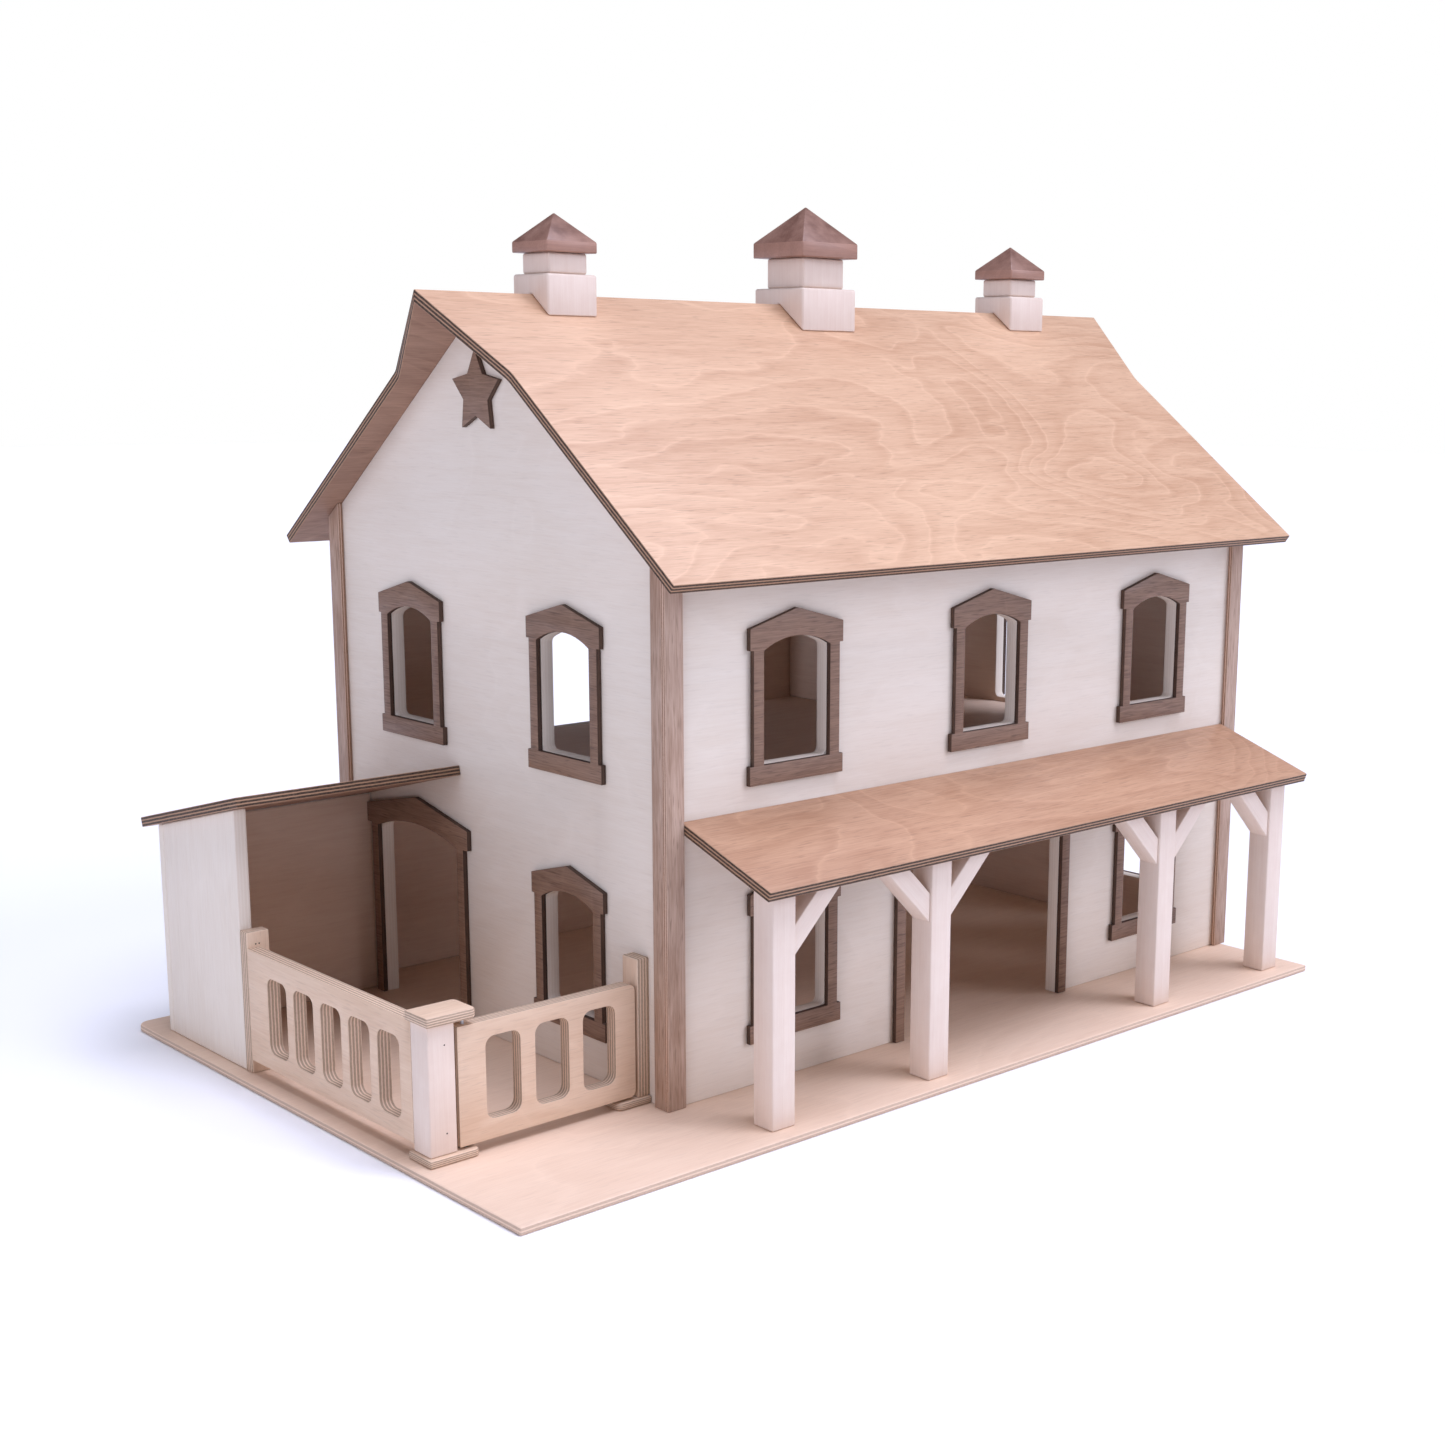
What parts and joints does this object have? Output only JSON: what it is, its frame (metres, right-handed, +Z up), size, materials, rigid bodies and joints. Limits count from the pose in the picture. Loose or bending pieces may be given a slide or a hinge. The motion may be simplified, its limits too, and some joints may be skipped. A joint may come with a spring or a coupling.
{
  "type": "wooden dollhouse",
  "caption": "Two-storey wooden dollhouse with a flared gable roof, ridge cupolas, a porch on braced posts, a lean-to shed and a fenced yard with a swinging gate.",
  "frame": {"origin": "centre of the bottom of the bounding box, on the surface that the base board stands on", "axes": "+X along the ridge, away from the fenced yard; +Y from the porch to the back; +Z up"},
  "size_m": [1.038, 0.6646, 0.7609],
  "materials": {
    "bare_wall_ply": "natural birch plywood, smooth and unpainted, clear matt finish",
    "bare_base_ply": "natural birch plywood, clear matt finish",
    "bare_fence_ply": "natural plywood with eased edges, layers showing on the edges",
    "bare_solid_wood": "bare maple-like solid wood, sanded",
    "stained_roof_ply": "light orange-tan stained birch plywood, dark layered edges, satin",
    "stained_trim_ply": "brown stained thin plywood with dark cut edges, matt",
    "stained_cap_wood": "red-brown stained solid wood, satin",
    "steel_pin": "plain steel rod"
  },
  "bodies": {
    "house": {"back_wall": "bare_wall_ply", "base_board": "bare_base_ply", "corner_post_cap": "bare_fence_ply", "corner_post_foot": "bare_fence_ply", "corner_strip_front_left": "stained_trim_ply", "corner_strip_front_right": "stained_trim_ply", "corner_strip_gable_front_left": "stained_trim_ply", "corner_strip_gable_front_right": "stained_trim_ply", "corner_strip_gable_rear_left": "stained_trim_ply", "corner_strip_gable_rear_right": "stained_trim_ply", "cupola_left_base": "bare_solid_wood", "cupola_left_cap": "stained_cap_wood", "cupola_left_neck": "bare_solid_wood", "cupola_middle_base": "bare_solid_wood", "cupola_middle_cap": "stained_cap_wood", "cupola_middle_neck": "bare_solid_wood", "cupola_right_base": "bare_solid_wood", "cupola_right_cap": "stained_cap_wood", "cupola_right_neck": "bare_solid_wood", "door_trim_front": "stained_trim_ply", "door_trim_left": "stained_trim_ply", "front_wall": "bare_wall_ply", "gable_star": "stained_trim_ply", "gate_corner_post": "bare_solid_wood", "gate_pivot_pin": "steel_pin", "latch_post": "bare_fence_ply", "latch_post_foot": "bare_fence_ply", "left_gable_wall": "bare_wall_ply", "loft_door_trim_right": "stained_trim_ply", "loft_partition": "bare_wall_ply", "porch_brace_1_right": "bare_solid_wood", "porch_brace_2_left": "bare_solid_wood", "porch_brace_2_right": "bare_solid_wood", "porch_brace_3_left": "bare_solid_wood", "porch_brace_3_right": "bare_solid_wood", "porch_brace_4_left": "bare_solid_wood", "porch_post_1": "bare_solid_wood", "porch_post_2": "bare_solid_wood", "porch_post_3": "bare_solid_wood", "porch_post_4": "bare_solid_wood", "porch_roof": "stained_roof_ply", "railing_rear_post": "bare_fence_ply", "right_gable_wall": "bare_wall_ply", "roof_front_panel": "stained_roof_ply", "roof_rear_panel": "stained_roof_ply", "shed_back_wall": "bare_wall_ply", "shed_outer_wall": "bare_wall_ply", "shed_roof": "stained_roof_ply", "upper_floor": "bare_wall_ply", "window_trim_front_lower_left": "stained_trim_ply", "window_trim_front_lower_right": "stained_trim_ply", "window_trim_front_upper_left": "stained_trim_ply", "window_trim_front_upper_middle": "stained_trim_ply", "window_trim_front_upper_right": "stained_trim_ply", "window_trim_left_lower": "stained_trim_ply", "window_trim_left_upper_front": "stained_trim_ply", "window_trim_left_upper_rear": "stained_trim_ply", "window_trim_right_lower": "stained_trim_ply", "yard_railing": "bare_fence_ply"},
    "gate": {"gate": "bare_fence_ply"}
  },
  "joints": [
    {"name": "gate_hinge", "type": "hinge", "parent": "house", "child": "gate", "pos_m": [-0.471, -0.18765, 0.0639], "axis": [0, 0, 1], "range_deg": [-90, 90]}
  ]
}
